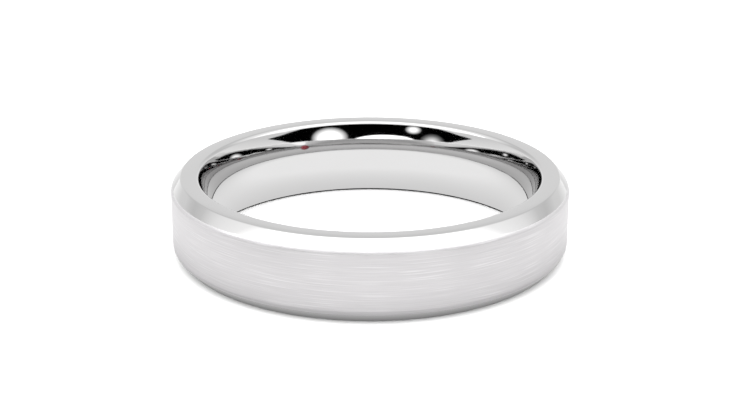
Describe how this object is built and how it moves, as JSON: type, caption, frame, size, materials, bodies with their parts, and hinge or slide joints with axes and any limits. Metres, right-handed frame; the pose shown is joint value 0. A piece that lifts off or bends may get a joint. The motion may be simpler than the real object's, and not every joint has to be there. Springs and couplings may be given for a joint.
{
  "type": "wedding band",
  "caption": "Plain wedding band with a brushed outer face, polished bevelled edges, an inside that bulges towards the finger and a small ruby set flush in the inner wall.",
  "frame": {"origin": "centre of the finger hole, in the plane of the lower rim", "axes": "+Z along the finger hole towards the upper rim, +X through the ruby in the inner wall"},
  "size_m": [0.0198, 0.0198, 0.004],
  "materials": {
    "white_gold": "white gold: fine brushing round the outer face, mirror polish on the bevels, the rims and the inside",
    "ruby_red": "clear deep red gemstone with flat polished facets"
  },
  "bodies": {
    "root": {"band": "white_gold", "inner_ruby": "ruby_red"}
  },
  "joints": []
}
